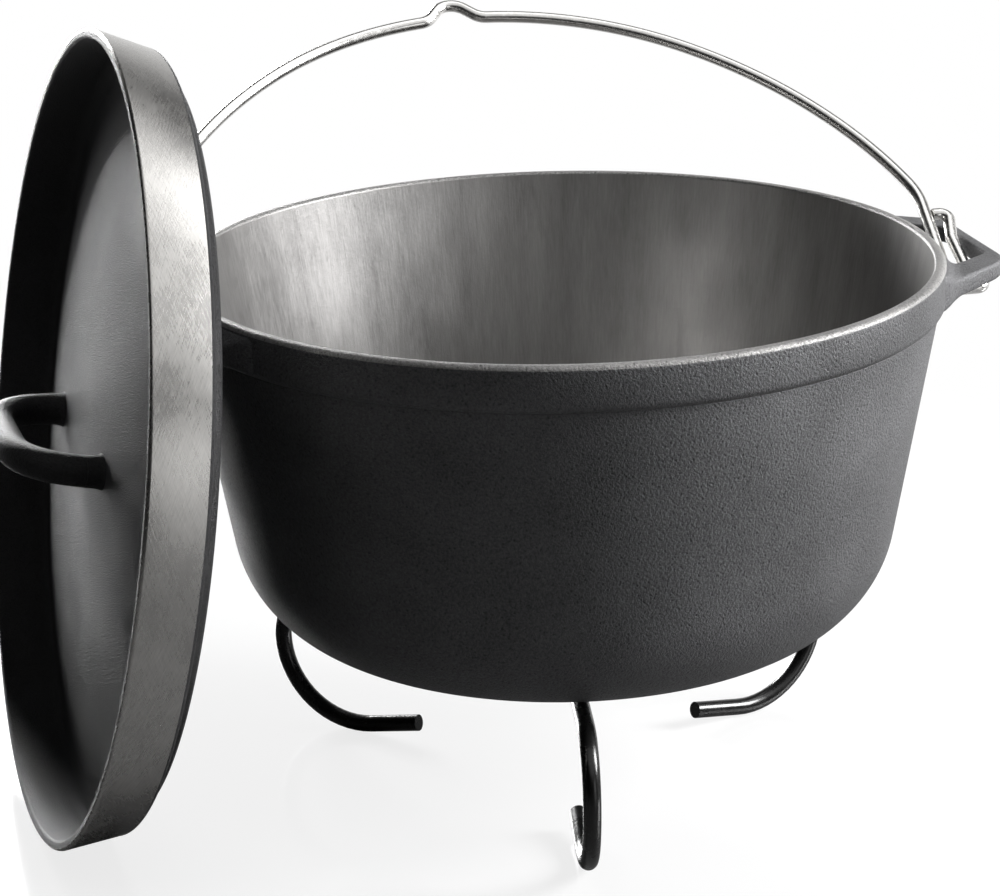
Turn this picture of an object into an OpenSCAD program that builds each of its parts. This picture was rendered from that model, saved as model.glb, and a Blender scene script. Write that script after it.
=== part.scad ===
// Cast iron camp oven with its lid leaning against one ear, a swinging wire bail and a three-legged rod stand.
// Origin: centre of the pot's inside floor. +Z up, the ears and the bail's hinge line along X.
// The bail leans back, towards +Y, as it comes to rest. The lid stands on its edge at -X.

/* [Pot] */
// Outer diameter of the rim
rim_d = 270; // [240:1:300]
// Height of the pot alone, from the underside of its base to the top of its rim
pot_h = 134.4; // [120:0.2:150]
// Thickness of the floor, the corner and the wall, measured square to the surface
wall_t = 4.8; // [4:0.1:6]
// Diameter of the flat part of the base, outside
base_d = 147; // [130:1:160]
// Lean of the wall away from upright
wall_lean = 10.4; // [8:0.1:12]
// Height of the thicker band round the rim
band_h = 16.4; // [12:0.2:22]
// How far the band stands proud of the wall at its lower edge
band_step = 2.4; // [1.5:0.1:3]
// Rounding of the rim's two edges
rim_round = 1.2; // [0.5:0.1:1.8]

/* [Ears] */
// How far an ear stands out beyond the rim
ear_out = 21.5; // [20:0.1:25]
// Depth of the ears' top face below the rim
ear_drop = 6; // [4:0.1:10]
// Thickness of an ear at its tip
ear_t = 6.5; // [5:0.1:8]
// Thickness of an ear where it leaves the wall
ear_root_t = 12; // [9:0.1:16]
// Half the length of the straight part of an ear's tip
ear_tip_half = 19.5; // [16:0.5:22]
// Radius of an ear's two outer corners, seen from above
ear_corner_r = 14; // [12:0.5:15]
// Half the distance between the centres of the two rounded roots of an ear
ear_root_half = 39; // [37:0.5:42]
// Radius of an ear's rounded roots, seen from above
ear_root_r = 10; // [8:0.5:12]
// Rounding of an ear's cast edges
ear_round = 2; // [1:0.1:2.4]
// Width of the bar left outside an ear's hole
ear_bar = 5.2; // [4.8:0.1:5.6]
// Half the length of an ear's hole beside the wall
hole_half_in = 29; // [27:0.5:31]
// Half the length of an ear's hole beside the bar
hole_half_out = 19.5; // [18:0.5:21]

/* [Lid] */
// How far the lid's lower edge stands out over the pot's rim, all round
lid_over = 1.5; // [0.5:0.1:3.5]
// How much further the lid's wall stands out at its upper edge
lid_flare = 5.2; // [3:0.1:7]
// Height of the lid from its seat to its upper edge, without the handle
lid_h = 22.2; // [20:0.2:25]
// Thickness of the lid's plate
lid_t = 4; // [3.5:0.1:5]
// Thickness of the lid's upright wall
lid_wall_t = 3.8; // [3.2:0.1:5.5]
// Width of the gutter between the dome and the foot of the wall
gutter_w = 9.2; // [7:0.1:12]
// Depth of the dome's top below the lid's upper edge
dome_drop = 5; // [4:0.1:8]
// Radius of the hollow between the gutter's floor and the wall
gutter_r = 5; // [3:0.5:5.5]
// Height of the locating ring under the lid
lip_h = 3.5; // [2:0.1:5]
// Width of the locating ring
lip_w = 4; // [3:0.1:5]
// Play between the locating ring and the inside of the pot's rim
lip_play = 1; // [0.6:0.1:1.5]

/* [Lid handle] */
// Distance between the centres of the handle's two feet
handle_span = 76; // [66:1:84]
// Height of the handle's centre line over the dome
handle_h = 25.5; // [24:0.5:34]
// Thickness of the handle
handle_d = 11; // [8:0.2:12]
// Radius of the handle's two bends
handle_bend = 24; // [18:0.5:24]
// Radius by which each foot of the handle spreads where it joins the dome
handle_foot = 2.5; // [1:0.1:3.5]

/* [Lid at rest] */
// Lean of the lid away from upright, its upper edge towards the pot
lid_lean = 8.4; // [6:0.1:12]
// Turn of the lid away from facing squarely along the ears
lid_turn = 2; // [0:0.5:4]
// Distance of the lid's centre beyond the line through the ears
lid_aside = 9; // [4:0.5:12]
// Gap left between the lid's underside and the ear that it leans on
lid_gap = 0.2; // [0.1:0.05:0.5]

/* [Bail] */
// Diameter of the bail's wire
wire_d = 4.5; // [4:0.1:4.8]
// Height of the bail's arch over its hinge line
arch_h = 147.9; // [146:0.5:152]
// Height over the hinge line at which the wire turns inwards
knee_h = 23.5; // [22:0.5:26]
// Bend radius of that turn
knee_r = 32.6; // [28:0.2:38]
// Outward lean of the wire below the turn
shank_lean = 4.5; // [4:0.1:5]
// Inward lean of the wire just above the turn
side_lean = 18.2; // [16:0.2:20]
// Lean of the wire where the arch's side bend gives way to its middle bend
crown_lean = 54; // [50:0.5:58]
// Distance of the raised notch from the middle of the arch
notch_aside = 5; // [0:0.5:8]
// Half the length of the notch, along the arch
notch_half = 13; // [12.5:0.5:15]
// Bend radius of the notch's bends
notch_r = 6; // [5:0.5:6.5]
// Steepness of the notch's two slopes
notch_angle = 44; // [35:1:46]
// Lean of the bail from upright as it comes to rest
bail_lean = 61.4; // [60:0.2:62]

/* [Bail eyes] */
// Height of an eye's top bar over the hinge line
eye_top = 18.4; // [17.5:0.1:19.5]
// Depth of an eye's bottom bar under the hinge line
eye_bottom = 21; // [20.9:0.1:22]
// Play between an eye's outer wire and the bar of its ear
eye_play = 0.7; // [0.4:0.1:1]
// Distance between the centres of an eye's two upright wires, where they pass the ear
eye_waist = 7; // [6.6:0.1:7.2]
// How far an eye's outer wire stands further out at the top
eye_shoulder = 2.4; // [2:0.1:2.6]
// How far an eye's outer wire stands further out under the ear
eye_toe = 4.2; // [3.8:0.1:4.4]
// Bend radius of an eye's corners
eye_r = 3; // [2.6:0.1:3.2]
// Gap between the wire's cut end and the shank that it closes against
wire_gap = 0.15; // [0.1:0.05:0.5]

/* [Stand] */
// Height of the stand, from the ground to the pot's base
stand_h = 57.6; // [52:0.2:64]
// Diameter of the stand's rod
rod_d = 6.2; // [5.5:0.1:7]
// Distance from the middle to where a leg touches the ground
foot_reach = 85.5; // [80:0.5:95]
// Radius of a leg's lower bend
foot_bend = 31.2; // [28:0.4:32]
// Length of the tail that turns back under the pot
tail_len = 20.5; // [18:0.5:28]
// Rise of the tail above level
tail_rise = 10; // [6:0.5:14]
// How far the stand stands towards the lid from the pot's middle
stand_aside = 1.4; // [0:0.2:4]
// Direction of the front leg, measured from +X
front_leg_angle = -100.5; // [-120:0.5:-80]

/* [Hidden] */

rim_r = rim_d / 2;
base_r = base_d / 2;
ground = -wall_t - stand_h;
rim_z = pot_h - wall_t;
smooth_fn = 96;
round_fn = 48;

// Points along an arc, from one angle to another, both ends counted
function arc(x, z, r, from, to, steps) =
    [for (i = [0 : steps]) let (a = from + (to - from) * i / steps) [x + r * cos(a), z + r * sin(a)]];

// The wall's outer face is a straight line in section, through this point under the band
line_x = rim_r - band_step;
line_z = rim_z - band_h;
// The corner's outer radius makes it tangent to the base and to that line
corner_r = (cos(wall_lean) * (line_x - base_r) - sin(wall_lean) * (line_z + wall_t)) / (1 - sin(wall_lean));
corner_z = corner_r - wall_t;
inner_r = corner_r - wall_t;
// Radius of the inner face at a height, on its straight part
function inside_at(z) = line_x + (z - line_z) * tan(wall_lean) - wall_t / cos(wall_lean);
mouth_r = inside_at(rim_z);

module pot_wall() {
    rotate_extrude($fn = smooth_fn) polygon(concat(
        [[0, -wall_t]],
        arc(base_r, corner_z, corner_r, -90, -wall_lean, 20),
        [[line_x, line_z]],
        [[rim_r - 0.4, line_z + band_step * 0.8]],
        [[rim_r, line_z + band_step * 1.3]],
        arc(rim_r - rim_round, rim_z - rim_round, rim_round, 0, 90, 4),
        arc(mouth_r + rim_round, rim_z - rim_round, rim_round, 90, 180, 4),
        arc(base_r, corner_z, inner_r, -wall_lean, -90, 20),
        [[0, 0]]
    ));
}

ear_reach = rim_r + ear_out;
ear_top = rim_z - ear_drop;
hole_out = ear_reach - ear_bar;
// The hole and the roots start inside the wall
hole_in = rim_r - 3;
root_x = rim_r - 4;

// A round slab with rounded edges, the corner piece of an ear
module ear_slab(x, y, r, thick) {
    for (z = [ear_top - thick + ear_round, ear_top - ear_round])
        translate([x, y, z]) rotate_extrude($fn = 28) translate([r - ear_round, 0]) circle(ear_round, $fn = 16);
}

// The ear's hole in plan, grown by a chamfer, as a thin slice at one height
module hole_slice(grow, z, thick) {
    translate([0, 0, z]) linear_extrude(thick) polygon([
        [hole_in - 4, -hole_half_in - grow - 2], [hole_out + grow, -hole_half_out - grow],
        [hole_out + grow, hole_half_out + grow], [hole_in - 4, hole_half_in + grow + 2]
    ]);
}

ear_chamfer = 0.9;

module ear() {
    difference() {
        hull() {
            for (side = [-1, 1]) {
                ear_slab(ear_reach - ear_corner_r, side * ear_tip_half, ear_corner_r, ear_t);
                ear_slab(root_x, side * ear_root_half, ear_root_r, ear_root_t);
            }
        }
        hole_slice(0, ear_top - 2 * ear_root_t, 3 * ear_root_t);
        hull() {
            hole_slice(ear_chamfer, ear_top, 1);
            hole_slice(0, ear_top - ear_chamfer, 1);
        }
    }
}

// What an ear's root must not reach: the inside of the pot
module pot_inside() {
    rotate_extrude($fn = smooth_fn) polygon([
        [0, line_z - 30], [inside_at(line_z - 30) + wall_t / 2, line_z - 30],
        [inside_at(rim_z) + wall_t / 2, rim_z + 1], [0, rim_z + 1]
    ]);
}

module pot() {
    color([0.16, 0.16, 0.17]) union() {
        pot_wall();
        for (turn = [0, 180])
            rotate([0, 0, turn]) difference() {
                ear();
                pot_inside();
            }
    }
}

// The lid, drawn seat down, with its axis upright
lid_base_r = rim_r + lid_over;
lid_r = lid_base_r + lid_flare;
dome_r = lid_base_r - lid_wall_t - gutter_w;
lid_edge_round = 1.2;
lid_edge_in = 0.1;
lid_seat_round = 1.8;
dome_h = lid_h - dome_drop - lid_t;
dome_ball = (dome_r * dome_r + dome_h * dome_h) / (2 * dome_h);
// Height of the dome's upper face over the seat, at a radius
function dome_top(r) = lid_h - dome_drop - dome_ball + sqrt(dome_ball * dome_ball - r * r);
lip_r = mouth_r - lip_play;
wall_slope = (lid_r - lid_base_r) / lid_h;
// Radius of the lid wall's inner face at a height over the seat
function lid_inside(z) = lid_base_r + wall_slope * z - lid_wall_t;

module lid_plate() {
    edge = lid_edge_round;
    seat = lid_seat_round;
    hollow_x = lid_inside(lid_t + gutter_r) - gutter_r;
    rotate_extrude($fn = smooth_fn) polygon(concat(
        [for (i = [0 : 12]) let (r = (lip_r - lip_w - 1) * i / 12) [r, dome_top(r) - lid_t]],
        [[lip_r - lip_w, -lip_h + 0.8], [lip_r - lip_w + 0.8, -lip_h], [lip_r - 0.8, -lip_h]],
        [[lip_r, -lip_h + 0.8], [lip_r, 0]],
        arc(lid_base_r - seat, seat, seat, -90, 0, 4),
        arc(lid_r - edge - lid_edge_in, lid_h - edge, edge, 0, 90, 4),
        arc(lid_inside(lid_h) + edge, lid_h - edge, edge, 90, 180, 4),
        arc(hollow_x, lid_t + gutter_r, gutter_r, 0, -90, 8),
        [for (i = [12 : -1 : 0]) let (r = dome_r * i / 12) [r, dome_top(r)]]
    ));
}

// A quarter bend of the handle's bar, from upright at the origin to level at its far end
module handle_corner() {
    translate([0, handle_bend, 0]) rotate([90, 0, 90]) rotate([0, 0, 90])
        rotate_extrude(angle = 90, $fn = smooth_fn) translate([handle_bend, 0]) circle(handle_d / 2, $fn = round_fn);
}

module lid_handle() {
    sunk = 3;
    foot_z = dome_top(handle_span / 2);
    bend_z = lid_h - dome_drop + handle_h - handle_bend;
    flat = handle_span - 2 * handle_bend;
    for (side = [0, 1]) mirror([0, side, 0]) translate([0, -handle_span / 2, 0]) {
        translate([0, 0, foot_z - sunk]) cylinder(h = bend_z - foot_z + sunk, d = handle_d, $fn = round_fn);
        translate([0, 0, bend_z]) handle_corner();
        // The foot flares into the dome
        translate([0, 0, foot_z - 1]) rotate_extrude($fn = round_fn) polygon(concat(
            [[0, 0]],
            arc(handle_d / 2 + handle_foot, 1 + handle_foot, handle_foot, -90, -180, 6),
            [[0, 1 + handle_foot]]
        ));
    }
    translate([0, -flat / 2, bend_z + handle_bend]) rotate([-90, 0, 0])
        cylinder(h = flat, d = handle_d, $fn = round_fn);
}

// Where the leaning lid stands. Its upper edge is on the ground and its hollow underside meets one ear's tip.
lid_axis = [-cos(lid_lean) * cos(lid_turn), -cos(lid_lean) * sin(lid_turn), sin(lid_lean)];
seat_z = ground + (lid_r - lid_edge_in) * cos(lid_lean) - (lid_h - lid_edge_round) * sin(lid_lean);
seat_y = lid_aside - lid_h * lid_axis[1];
hollow_ball = dome_ball - lid_t;
ball_drop = lid_h - dome_drop - dome_ball;
touch = [-(ear_reach - ear_round), -ear_tip_half, ear_top - ear_round];
reach_ball = hollow_ball - ear_round - lid_gap;
ball_y = seat_y + ball_drop * lid_axis[1];
ball_z = seat_z + ball_drop * lid_axis[2];
ball_x = touch[0] + sqrt(pow(reach_ball, 2) - pow(touch[1] - ball_y, 2) - pow(touch[2] - ball_z, 2));
seat_x = ball_x - ball_drop * lid_axis[0];

module lid() {
    color([0.3, 0.3, 0.31]) translate([seat_x, seat_y, seat_z]) rotate([0, 90 - lid_lean, 180 + lid_turn]) {
        lid_plate();
        lid_handle();
    }
}

// Stations along a bent bar after its first, each [x, z, heading]. Heading 0 is up, 90 towards +X, 180 down.
// Each of the steps is [straight length, bend radius, turn], the straight part first.
function bar_stations(steps, r, x, z, heading, i = 0) = i == len(steps) ? [] :
    let (
        step = steps[i],
        x0 = x + step[0] * sin(heading),
        z0 = z + step[0] * cos(heading),
        way = step[2] < 0 ? -1 : 1,
        size = abs(step[2]),
        // A bend that is wide for its bar gets more stations
        count = ceil(size / 9 * max(1, step[1] / (20 * r))),
        bent = [for (k = [1 : 1 : count]) let (h = heading + way * size * k / count) [
            x0 + way * step[1] * (cos(heading) - cos(h)),
            z0 + way * step[1] * (sin(h) - sin(heading)), h
        ]],
        here = step[0] > 0 ? [[x0, z0, heading]] : [],
        end = count > 0 ? bent[count - 1] : [x0, z0, heading]
    )
    concat(here, bent, bar_stations(steps, r, end[0], end[1], end[2], i + 1));

// The same stations in the other direction, and mirrored to the other side
function turned_back(list) = [for (i = [len(list) - 1 : -1 : 0]) [list[i][0], list[i][1], list[i][2] + 180]];
function mirrored(list) = [for (p = list) [-p[0], p[1], -p[2]]];

// A round bar through a list of stations in the XZ plane
module swept_bar(stations, r, sides) {
    count = len(stations);
    points = [for (p = stations, k = [0 : sides - 1]) let (a = 360 * k / sides) [
        p[0] + r * cos(a) * cos(p[2]), r * sin(a), p[1] - r * cos(a) * sin(p[2])
    ]];
    skin = [for (i = [0 : count - 2], k = [0 : sides - 1]) let (n = (k + 1) % sides)
        [i * sides + k, i * sides + n, (i + 1) * sides + n, (i + 1) * sides + k]];
    first = [for (k = [sides - 1 : -1 : 0]) k];
    last = [for (k = [0 : sides - 1]) (count - 1) * sides + k];
    polyhedron(points, concat(skin, [first, last]));
}

// The bail's wire in its own plane: X along the hinge line, Z up the arch, the hinge line at Z = 0
wire_r = wire_d / 2;
hinge_z = ear_top - (ear_t - 0.5) / 2;
waist_x = hole_out - eye_play - wire_r;
shank_x = waist_x - eye_waist;
arch_half = shank_x + knee_h * tan(shank_lean);
side_x = arch_half - knee_r * (cos(shank_lean) - cos(side_lean));
side_z = knee_h + knee_r * (sin(side_lean) + sin(shank_lean));
// Two bend radii close the arch at its height and in its middle
run_x = [cos(side_lean) - cos(crown_lean), cos(crown_lean)];
run_z = [sin(crown_lean) - sin(side_lean), 1 - sin(crown_lean)];
share = run_x[0] * run_z[1] - run_x[1] * run_z[0];
side_r = (side_x * run_z[1] - run_x[1] * (arch_h - side_z)) / share;
crown_r = (run_x[0] * (arch_h - side_z) - run_z[0] * side_x) / share;

// The notch takes a piece out of the crown's bend and puts two slopes in its place
notch_from = asin((notch_aside - notch_half) / crown_r);
notch_to = asin((notch_aside + notch_half) / crown_r);
notch_dip = (notch_to - notch_from) / 2;
notch_chord = 2 * crown_r * sin(notch_dip);
notch_run = (notch_chord - notch_r * (4 * sin(notch_angle) - 2 * sin(notch_dip))) / (2 * cos(notch_angle));

function crown_at(a) = [-crown_r * sin(a), arch_h - crown_r * (1 - cos(a)), -90 - a];

function notch_stations() = let (from = crown_at(notch_from)) concat([from], bar_stations([
    [0, notch_r, notch_angle - notch_dip],
    [notch_run, notch_r, -2 * notch_angle],
    [notch_run, notch_r, notch_angle - notch_dip]
], wire_r, from[0], from[1], from[2]));

// The eye's two slants are worked out from how far they carry the wire outwards
toe_turn = 62;
shoulder_turn = 14;
toe_run = (eye_toe - 2 * eye_r * (1 - cos(toe_turn))) / sin(toe_turn);
toe_z = -eye_bottom + eye_r * (1 + 2 * sin(toe_turn)) + toe_run * cos(toe_turn);
shoulder_run = (eye_shoulder - 2 * eye_r * (1 - cos(shoulder_turn))) / sin(shoulder_turn);
waist_run = eye_top - eye_r * (1 + 2 * sin(shoulder_turn)) - shoulder_run * cos(shoulder_turn) - toe_z;
shank_run = (knee_h + eye_bottom - eye_r * (1 + sin(shank_lean))) / cos(shank_lean);
corner_x = shank_x - (eye_bottom - eye_r * (1 + sin(shank_lean))) * tan(shank_lean) + eye_r * cos(shank_lean);
bottom_run = waist_x + eye_toe - eye_r - corner_x;
// The wire's end stops just short of the shank
end_x = shank_x + eye_top * tan(shank_lean) + wire_r + wire_gap;
top_run = waist_x + eye_shoulder - eye_r - end_x;

// From the crown down one side to the wire's end, on the +X side
function side_stations(stop) = let (from = crown_at(-stop)) bar_stations([
    [0, crown_r, 90 - crown_lean - stop],
    [0, side_r, crown_lean - side_lean],
    [0, knee_r, side_lean + shank_lean],
    [shank_run, eye_r, -(90 + shank_lean)],
    [bottom_run, eye_r, -(90 + toe_turn)],
    [toe_run, eye_r, toe_turn],
    [waist_run, eye_r, shoulder_turn],
    [shoulder_run, eye_r, -(90 + shoulder_turn)],
    [top_run, 0, 0]
], wire_r, from[0], from[1], 90 + stop);

module bail() {
    wire = concat(
        turned_back(side_stations(-notch_from)),
        notch_stations(),
        mirrored(side_stations(notch_to))
    );
    color([0.75, 0.75, 0.76]) translate([0, 0, hinge_z]) rotate([-bail_lean, 0, 0])
        swept_bar(wire, wire_r, 14);
}

// One leg of the stand, in the plane that holds the pot's axis: a level arm under the base, two bends and a tail
module leg(at) {
    rod_r = rod_d / 2;
    arm_z = -wall_t - rod_r;
    // The upper bend takes up the height that the lower one leaves
    top_bend = stand_h - rod_d - foot_bend;
    arm = foot_reach + foot_bend - top_bend;
    color([0.05, 0.05, 0.05]) translate([-stand_aside, 0, 0]) rotate([0, 0, at]) difference() {
        swept_bar(concat([[0, arm_z, 90]], bar_stations([
            [arm, top_bend, 90], [0, foot_bend, 90 + tail_rise], [tail_len, 0, 0]
        ], rod_r, 0, arm_z, 90)), rod_r, 16);
        // The three arms meet in the middle, each mitred to a point
        for (side = [0, 1])
            mirror([0, side, 0]) rotate([0, 0, 60]) translate([-rod_d, 0, arm_z - rod_d])
                cube([3 * rod_d, rod_d, 2 * rod_d]);
    }
}

module front_leg() { leg(front_leg_angle); }
module right_leg() { leg(front_leg_angle + 120); }
module left_leg() { leg(front_leg_angle + 240); }

pot();
lid();
bail();
front_leg();
left_leg();
right_leg();
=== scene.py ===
"""Dresses a packed camp oven: pebbled cast iron pot and lid, bright wire bail and gloss black rod stand."""
import math

import bmesh
import bpy
from bpy.props import FloatProperty, FloatVectorProperty, PointerProperty
from mathutils import Matrix, Vector


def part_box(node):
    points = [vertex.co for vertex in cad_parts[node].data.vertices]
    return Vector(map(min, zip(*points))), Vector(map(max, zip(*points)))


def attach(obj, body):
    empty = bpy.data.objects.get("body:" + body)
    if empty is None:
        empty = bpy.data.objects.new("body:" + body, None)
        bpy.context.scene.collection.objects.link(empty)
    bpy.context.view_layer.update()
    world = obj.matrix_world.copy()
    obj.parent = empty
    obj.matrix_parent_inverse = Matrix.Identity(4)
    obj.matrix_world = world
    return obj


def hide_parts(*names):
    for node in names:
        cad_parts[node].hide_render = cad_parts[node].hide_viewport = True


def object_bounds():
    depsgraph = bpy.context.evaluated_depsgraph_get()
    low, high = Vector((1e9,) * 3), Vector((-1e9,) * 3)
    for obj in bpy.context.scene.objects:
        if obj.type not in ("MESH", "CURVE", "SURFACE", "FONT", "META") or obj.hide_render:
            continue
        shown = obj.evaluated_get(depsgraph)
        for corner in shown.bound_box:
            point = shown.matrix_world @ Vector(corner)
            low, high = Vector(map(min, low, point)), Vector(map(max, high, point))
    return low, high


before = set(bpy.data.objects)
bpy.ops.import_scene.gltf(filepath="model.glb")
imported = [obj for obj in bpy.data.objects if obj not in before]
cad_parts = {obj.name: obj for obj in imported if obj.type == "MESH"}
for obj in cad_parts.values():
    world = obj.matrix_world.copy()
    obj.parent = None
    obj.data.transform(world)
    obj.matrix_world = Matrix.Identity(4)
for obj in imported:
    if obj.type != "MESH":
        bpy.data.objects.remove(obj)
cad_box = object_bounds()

bl_info = {
    "name": "Camp Oven",
    "version": (1, 0, 0),
    "blender": (4, 5, 0),
    "location": "View3D > Sidebar > Camp Oven",
    "description": "Adds a cast iron camp oven with a leaning lid, a wire bail and a rod stand",
    "category": "Add Mesh",
}

TAU = 2 * math.pi


def length(name, description, mm):
    """A length, stated here in millimetres and kept in metres."""
    return FloatProperty(name=name, description=description, default=mm / 1000, unit="LENGTH", precision=4)


def angle(name, description, degrees):
    return FloatProperty(name=name, description=description, default=math.radians(degrees), unit="ROTATION")


def tint(name, description, red, green, blue):
    return FloatVectorProperty(
        name=name, description=description, default=(red, green, blue),
        size=3, min=0.0, max=1.0, subtype="COLOR",
    )


def share(name, description, value):
    return FloatProperty(
        name=name, description=description, default=value, min=0.0, max=1.0, subtype="FACTOR"
    )


def watts(name, description, value):
    return FloatProperty(name=name, description=description, default=value, unit="POWER")


class PotSettings(bpy.types.PropertyGroup):
    rim_d: length("Rim", "Outer diameter of the rim", 270)
    pot_h: length("Height", "From the underside of the base to the top of the rim", 134.4)
    wall_t: length("Wall", "Thickness of the floor and the wall", 4.8)
    base_d: length("Base", "Diameter of the flat part of the base", 147)
    wall_lean: angle("Wall lean", "Lean of the wall away from upright", 10.4)
    band_h: length("Band", "Height of the thicker band round the rim", 16.4)
    band_step: length("Band step", "How far the band stands proud of the wall", 2.4)
    rim_round: length("Rim rounding", "Rounding of the rim's inner edge", 1.2)
    rim_shoulder: length("Rim shoulder", "Rounding of the rim's outer edge", 2.2)
    ear_out: length("Ear reach", "How far an ear stands out beyond the rim", 21.5)
    ear_drop: length("Ear drop", "Depth of the ears' top face below the rim", 6)
    ear_t: length("Ear tip", "Thickness of an ear at its tip", 6)
    ear_root_t: length("Ear root", "Thickness of an ear at the wall", 6.8)
    ear_tip_half: length("Ear tip half", "Half the straight part of an ear's tip", 20.3)
    ear_corner_r: length("Ear corner", "Radius of an ear's outer corners", 20)
    ear_side_turn: angle("Ear side", "Way that an ear's side faces, away from straight out", 52)
    ear_round: length("Ear rounding", "Rounding of an ear's cast edges", 1.8)
    ear_bar: length("Ear bar", "Width of the bar outside an ear's hole", 5.2)
    ear_web: length("Ear web", "Width of the cast fillet between the wall and an ear's hole", 3.4)
    hole_half_in: length("Hole at the wall", "Half the hole's length where its sides meet the wall", 37)
    hole_half_out: length("Hole at the bar", "Half the length of an ear's hole beside the bar", 21.5)
    iron: tint("Cast iron", "As-cast iron of the outside", 0.09, 0.09, 0.093)
    # A lighter share of this tint also paints the rim's top: painted light on cast iron, which is not turned
    # there.
    machined: tint("Machined iron", "Turned iron of the inside and the rim", 0.28, 0.275, 0.27)


class LidSettings(bpy.types.PropertyGroup):
    lid_over: length("Overhang", "How far the lower edge stands out over the pot's rim", 1.5)
    lid_flare: length("Flare", "How much further the wall stands out at its upper edge", 5.2)
    lid_h: length("Height", "From the seat to the upper edge", 22.2)
    lid_t: length("Plate", "Thickness of the plate", 4)
    lid_wall_t: length("Wall", "Thickness of the upright wall", 3.8)
    gutter_w: length("Gutter", "Width of the gutter between the dome and the wall", 9.2)
    gutter_r: length("Gutter hollow", "Radius between the gutter's floor and the wall", 5)
    dome_drop: length("Dome drop", "Depth of the dome's top below the upper edge", 5)
    lip_h: length("Locating ring", "Height of the locating ring under the lid", 3.5)
    lip_w: length("Ring width", "Width of the locating ring", 4)
    lip_play: length("Ring play", "Play between the locating ring and the pot's rim", 1)
    edge_round: length("Edge rounding", "Rounding of the upper edge", 1.2)
    seat_round: length("Seat rounding", "Rounding of the lower edge", 1.8)
    handle_span: length("Handle span", "Distance between the handle's feet", 76)
    handle_h: length("Handle height", "Height of the handle's centre line over the dome", 25.5)
    handle_d: length("Handle bar", "Thickness of the handle", 11)
    handle_bend: length("Handle bend", "Radius of the handle's bends", 24)
    handle_foot: length("Handle foot", "Radius by which each foot spreads", 0.5)
    lid_lean: angle("Lean", "Lean of the lid away from upright", 8.4)
    lid_turn: angle("Turn", "Turn of the lid away from the line through the ears", 2)
    iron: tint("Cast iron", "As-cast iron of the dome and the gutter", 0.045, 0.045, 0.047)
    brushed: tint("Brushed iron", "Ground iron of the edge band", 0.5, 0.49, 0.475)
    handle_black: tint("Handle", "Black of the handle", 0.02, 0.02, 0.021)


class BailSettings(bpy.types.PropertyGroup):
    wire_d: length("Wire", "Diameter of the wire", 4.5)
    arch_h: length("Arch", "Height of the arch over the hinge line", 147.9)
    knee_h: length("Knee", "Height over the hinge line at which the wire turns inwards", 23.5)
    knee_r: length("Knee bend", "Radius of that turn", 32.6)
    shank_lean: angle("Shank lean", "Outward lean of the wire below the turn", 4.5)
    side_lean: angle("Side lean", "Inward lean of the wire above the turn", 18.2)
    crown_lean: angle("Crown lean", "Lean where the side bend gives way to the middle bend", 54)
    notch_aside: length("Notch aside", "Distance of the notch from the middle", 5)
    notch_half: length("Notch half", "Half the length of the notch", 13)
    notch_r: length("Notch bend", "Radius of the notch's bends", 7)
    notch_angle: angle("Notch slope", "Steepness of the notch's slopes", 50)
    bail_lean: angle("Lean", "Lean of the bail from upright as it rests", 61.4)
    eye_top: length("Eye top", "Height of an eye's top bar over the hinge line", 18.4)
    eye_bottom: length("Eye bottom", "Depth of an eye's bottom bar under the hinge line", 21)
    eye_play: length("Eye play", "Play between an eye and the bar of its ear", 0.7)
    eye_waist: length("Eye waist", "Distance between an eye's two upright wires", 7)
    eye_shoulder: length("Eye shoulder", "How far the outer wire stands further out at the top", 2.4)
    eye_toe: length("Eye toe", "How far the outer wire stands further out under the ear", 4.2)
    eye_r: length("Eye corners", "Bend radius of an eye's corners", 3)
    wire_gap: length("End gap", "Gap between the wire's end and the shank", 0.15)
    toe_turn: angle("Toe slant", "Slant of the outer wire above the toe", 62)
    shoulder_turn: angle("Shoulder slant", "Slant of the outer wire under the shoulder", 14)
    steel: tint("Wire steel", "Bright drawn wire", 0.78, 0.77, 0.75)


class StandSettings(bpy.types.PropertyGroup):
    stand_h: length("Height", "From the ground to the pot's base", 57.6)
    rod_d: length("Rod", "Diameter of the rod", 6.2)
    foot_reach: length("Foot reach", "Distance from the middle to where a leg touches the ground", 85.5)
    foot_bend: length("Foot bend", "Radius of a leg's lower bend", 31.2)
    tail_len: length("Tail", "Length of the tail that turns back under the pot", 20.5)
    tail_rise: angle("Tail rise", "Rise of the tail above level", 10)
    front_leg_angle: angle("Front leg", "Direction of the front leg", -100.5)
    black: tint("Stand black", "Gloss black of the rods", 0.006, 0.006, 0.006)


class StageSettings(bpy.types.PropertyGroup):
    camera_x: length("Camera X", "Place of the camera along X", -308.0)
    camera_y: length("Camera Y", "Place of the camera along Y", -1149.4)
    camera_z: length("Camera Z", "Height of the camera", 440.9)
    camera_heading: angle("Heading", "Direction in which the camera looks, from +X", 76.07)
    camera_dip: angle("Dip", "How far the camera looks down", 17.744)
    camera_roll: angle("Roll", "Roll of the camera", -1.329)
    lens: FloatProperty(
        name="Lens", description="Focal length on a 36 mm wide sensor", default=126.137, unit="CAMERA"
    )
    floor_white: tint("Floor", "Pale floor", 0.88, 0.88, 0.885)
    side_watts: watts("Side light", "Softbox on the right", 33)
    upper_watts: watts("Upper light", "Softbox over the right side", 2.5)
    top_watts: watts("Top light", "Softbox overhead", 2)
    fill_watts: watts("Fill light", "Weak softbox in front", 1.4)
    back_watts: watts("Back light", "Softbox behind the lid", 22)
    room: share("Room", "How bright metal shows the room in front of the oven", 0.02)
    ambient: share("Ambient", "Even light from all round", 0.04)


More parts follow.
